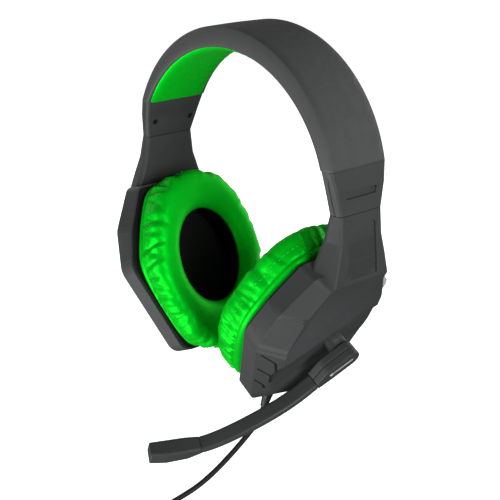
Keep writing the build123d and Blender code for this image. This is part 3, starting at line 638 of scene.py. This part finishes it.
def speaker_mesh(side):
    """Points and faces of the cloth over the speaker: a slightly domed sheet of raised ribs."""
    sheet = bmesh.new()
    row_step, column_step = CELL_R * math.sqrt(3), CELL_R * 1.5
    corners = {}

    def corner(x, y):
        key = (round(x, 2), round(y, 2))
        if key not in corners:
            corners[key] = sheet.verts.new((x, y, 0))
        return corners[key]

    for column in range(-10, 11):
        for row in range(-9, 10):
            x = column * column_step
            y = (row + 0.5 * (column % 2)) * row_step
            if (x / CLOTH_HALF[0]) ** 2 + (y / CLOTH_HALF[1]) ** 2 < 1.25:
                sheet.faces.new([
                    corner(x + CELL_R * math.cos(a), y + CELL_R * math.sin(a))
                    for a in [math.pi / 3 * k for k in range(6)]
                ])
    cells = list(sheet.faces)
    bmesh.ops.inset_individual(sheet, faces=cells, thickness=RIB, depth=-RIB_DROP)
    for vertex in sheet.verts:
        x, y = vertex.co.x, vertex.co.y
        stray = math.hypot(x / CLOTH_HALF[0], y / CLOTH_HALF[1])
        if stray > 1:
            vertex.co.x, vertex.co.y = x / stray, y / stray
        dome = CLOTH_DOME * max(0.0, 1 - min(stray, 1) ** 2)
        vertex.co.z += CLOTH_RISE + dome
    sheet.verts.index_update()
    points = [on_cup(side, v.co.x, v.co.y, v.co.z - CLOTH_BACK) for v in sheet.verts]
    faces = [tuple(v.index for v in f.verts) for f in sheet.faces]
    sheet.free()
    return points, faces


# =====================================================================================
# Headband
# =====================================================================================
def arc_point(radius, centre_z, share):
    """A point of an arc over the head: share runs from -1, its right end, to 1."""
    end = math.acos((BAND_END_Z - centre_z) / radius)
    angle = share * end
    return Vector((radius * math.sin(angle), 0, centre_z + radius * math.cos(angle)))


def band_loft(name, section, slot):
    """A closed strip over the head.

    Its section is points of y, millimetres out from the inner arc, and share of the way from the
    inner arc to the outer one. The two heights are added.
    """
    points = []
    for step in range(BAND_STEPS + 1):
        share = -1 + 2 * step / BAND_STEPS
        low = arc_point(INNER_R, -INNER_R, share)
        high = arc_point(OUTER_R, OUTER_CENTRE_Z, share)
        for across, rise_mm, rise_share in section(share):
            out = (high - low).normalized()
            point = low + (high - low) * rise_share + out * rise_mm
            points.append(Vector((point.x, across, point.z)))
    count = len(section(0))
    faces = grid_faces(BAND_STEPS + 1, count, False, True)
    faces.append(tuple(range(count)))
    faces.append(tuple(BAND_STEPS * count + k for k in reversed(range(count))))
    return piece_from(name, points, faces, slot, "headband")


def cover_section(share):
    """The cover: a crowned top, bevelled side faces and a lip round the pad, at any share."""
    top_half, under_half, mid_half = 18.7, 20.2, 19.75
    lip = [(17.7, 0.9, 0), (18.3, 0.25, 0), (19.4, 0.1, 0), (20.0, 0.55, 0), (under_half, 1.5, 0)]
    bevel = [(20.15, 0, 0.42), (mid_half, 0, 0.62), (top_half + 0.35, -0.9, 1)]
    top = [(top_half, -0.3, 1), (top_half - 0.7, 0.02, 1), (14, 0.1, 1), (7, 0.22, 1), (0, 0.28, 1)]
    section = lip + bevel + top
    mirrored = [(-y, mm, part) for y, mm, part in reversed(section[:-1])]
    inside = [(-17.7, 2.9, 0), (-9, 3.0, 0), (0, 3.0, 0), (9, 3.0, 0), (17.7, 2.9, 0)]
    return section + mirrored + inside


def cushion_section(share):
    """The pad: a crown that stands a little proud of the cover's lip."""
    half, proud = 18.8, 0.9 + 1.1 * (1 - abs(share) ** 8)
    section = []
    count = 36
    for k in range(count + 1):
        y = half * math.cos(math.pi * k / count)
        level = max(0.0, 1 - (abs(y) / half) ** 9) ** 0.5
        crease = 0.16 * math.cos(share * 95 + y * 0.1) * math.exp(-((abs(y) - 13) / 4) ** 2)
        section.append((y, 1.4 - (1.4 + proud) * level + crease, 0))
    return section + [(-half, 2.3, 0), (0, 2.35, 0), (half, 2.3, 0)]


# =====================================================================================
# Cable
# =====================================================================================
def coil_slots():
    """Where each turn lies, as (x, radius), as it is wound: down one column and up the next."""
    slots = []
    for column in range(COIL_COLUMNS):
        x = CABLE_ROUTE[-1][0] + CABLE_D * column
        radii = [COIL_OUTER_R - CABLE_D * row for row in range(COIL_ROWS)]
        slots += [(x, radius) for radius in (radii if column % 2 == 0 else reversed(radii))]
    return slots


def coil_points():
    """Turns of the coil, each crossing to the next slot over its last third."""
    slots = coil_slots()
    points = []
    for turn, (x, radius) in enumerate(slots):
        next_x, next_radius = slots[min(turn + 1, len(slots) - 1)]
        for step in range(POINTS_PER_TURN):
            if turn == 0 and step == 0:
                continue
            share = step / POINTS_PER_TURN
            move = eased(min(max((share - CROSSING_FROM) / (1 - CROSSING_FROM), 0), 1))
            here_x, here_r = x + (next_x - x) * move, radius + (next_radius - radius) * move
            angle = math.pi + 2 * math.pi * share
            y, z = COIL_Y + here_r * math.cos(angle), COIL_Z + here_r * math.sin(angle)
            points.append((here_x, y, z))
    return points


def spline_curve(name, points, radius_mm):
    """A round cord along one smooth line through its control points."""
    curve = bpy.data.curves.new(name, "CURVE")
    curve.dimensions = "3D"
    spline = curve.splines.new("NURBS")
    spline.points.add(len(points) - 1)
    for target, point in zip(spline.points, points):
        target.co = (*(Vector(point) * MM), 1)
    spline.order_u = 3
    spline.use_endpoint_u = True
    curve.resolution_u = 6
    curve.bevel_depth = radius_mm * MM
    curve.bevel_resolution = 5
    curve.use_fill_caps = True
    made = bpy.data.objects.new(name, curve)
    bpy.context.scene.collection.objects.link(made)
    curve.materials.append(finishes["cable_rubber"])
    return made


# =====================================================================================
# Build the pieces
# =====================================================================================
def build_cups():
    """Both cups: rounded mouldings, pads and speaker cloths."""
    for side in SIDES:
        for stem in ("shell", "rim", "arm_cover", "band_end_outer", "band_end_inner"):
            edged(f"{side}_{stem}")
        seam_stitches(side, ear_pad(side))
        points, faces = speaker_mesh(side)
        cloth = piece_from(
            f"{side}_speaker_mesh", points, faces, "mesh_cloth", f"{side}_cup", smooth=False,
        )
        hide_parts(f"{side}_speaker_cloth")


def build_headband():
    """The cover and the pad under it."""
    cover = band_loft("headband_skin", cover_section, "band_cover")
    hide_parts("headband_cover")
    cushion = band_loft("headband_cushion", cushion_section, "green_leatherette")
    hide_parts("headband_pad")


def build_boom():
    """The boom's pod, arm and microphone, with soft edges."""
    for node in ("boom_housing_inner", "boom_housing_outer", "boom_arm", "mic_housing"):
        moulding(node)


def build_cable():
    """The cable from its strain relief, round its coil and down its tail, in place of the CAD
    cable.
    """
    tail_x = CABLE_ROUTE[-1][0] + CABLE_D * (COIL_COLUMNS - 1)
    tail = [(tail_x, CABLE_ROUTE[-1][1], z) for z in (COIL_Z, TAIL_MIDDLE_Z, TAIL_END_Z)]
    cable = spline_curve("cable_line", CABLE_ROUTE + coil_points() + tail, CABLE_D / 2)
    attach(cable, "left_cup")
    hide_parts("cable", "cable_coil", "cable_tail")


def build_nodes():
    """Give every CAD node that is still shown its slot's finish."""
    for name, node in frame["nodes"].items():
        node.data.materials.clear()
        node.data.materials.append(finishes[slot_of[name]])


# =====================================================================================
# Floor, light and camera
# =====================================================================================
def build_stage():
    """A pale floor under the hanging cable, and a white room that lights the headset softly.

    The floor throws no light or shadow on the headset, as the key light stands below it.
    """
    low = cad_box[0].z - SLIDE_TRAVEL - FLOOR_GAP
    bpy.ops.mesh.primitive_plane_add(size=FLOOR_SIZE, location=(0, 0, low))
    floor = bpy.context.object
    floor.name = "floor"
    floor.visible_diffuse = False
    floor.visible_glossy = False
    floor.visible_shadow = False
    paint = Finish("floor_paint", (0.85, 0.85, 0.85), 0.9, Emission_Strength=FLOOR_GLOW)
    paint.shader.inputs["Emission Color"].default_value = (1, 1, 1, 1)
    floor.data.materials.append(paint.material)
    world = bpy.data.worlds.new("studio")
    bpy.context.scene.world = world
    world.use_nodes = True
    air = world.node_tree.nodes["Background"]
    air.inputs["Color"].default_value = (1, 1, 1, 1)
    path = world.node_tree.nodes.new("ShaderNodeLightPath")
    bright = world.node_tree.nodes.new("ShaderNodeMapRange")
    bright.inputs["To Min"].default_value = ROOM_LIGHT
    world.node_tree.links.new(path.outputs["Is Camera Ray"], bright.inputs["Value"])
    world.node_tree.links.new(bright.outputs["Result"], air.inputs["Strength"])


def area_light(name, place, size, watts):
    """A soft square light that faces the middle of the headset."""
    light = bpy.data.lights.new(name, "AREA")
    light.size = size
    light.energy = watts
    made = bpy.data.objects.new(name, light)
    bpy.context.scene.collection.objects.link(made)
    made.location = place
    facing = Vector(LIGHTS_FACE) - Vector(place)
    made.rotation_euler = facing.to_track_quat("-Z", "Y").to_euler()


def build_lights():
    """A large key from the front and below, a fill from each side and one from behind."""
    for name, place, size, watts in LIGHTS:
        area_light(name, place, size, watts)


def build_camera():
    """The camera looks down at the headset from its front left."""
    camera = bpy.data.cameras.new("camera")
    camera.lens = LENS_MM
    camera.sensor_width = SENSOR_MM
    camera.clip_start, camera.clip_end = 0.01, 20
    made = bpy.data.objects.new("camera", camera)
    bpy.context.scene.collection.objects.link(made)
    back = Vector((
        math.sin(AZIMUTH) * math.cos(ELEVATION), -math.cos(AZIMUTH) * math.cos(ELEVATION),
        math.sin(ELEVATION),
    ))
    level = Vector((math.cos(AZIMUTH), math.sin(AZIMUTH), 0))
    upright = back.cross(level)
    right = level * math.cos(ROLL) + upright * math.sin(ROLL)
    up = upright * math.cos(ROLL) - level * math.sin(ROLL)
    turn = Matrix((right, up, back)).transposed().to_4x4()
    made.matrix_world = Matrix.Translation(CAMERA_PLACE) @ turn
    bpy.context.scene.camera = made


build_nodes()
build_cups()
build_headband()
build_boom()
build_cable()
build_stage()
build_lights()
build_camera()
bpy.context.scene.view_settings.view_transform = "Standard"
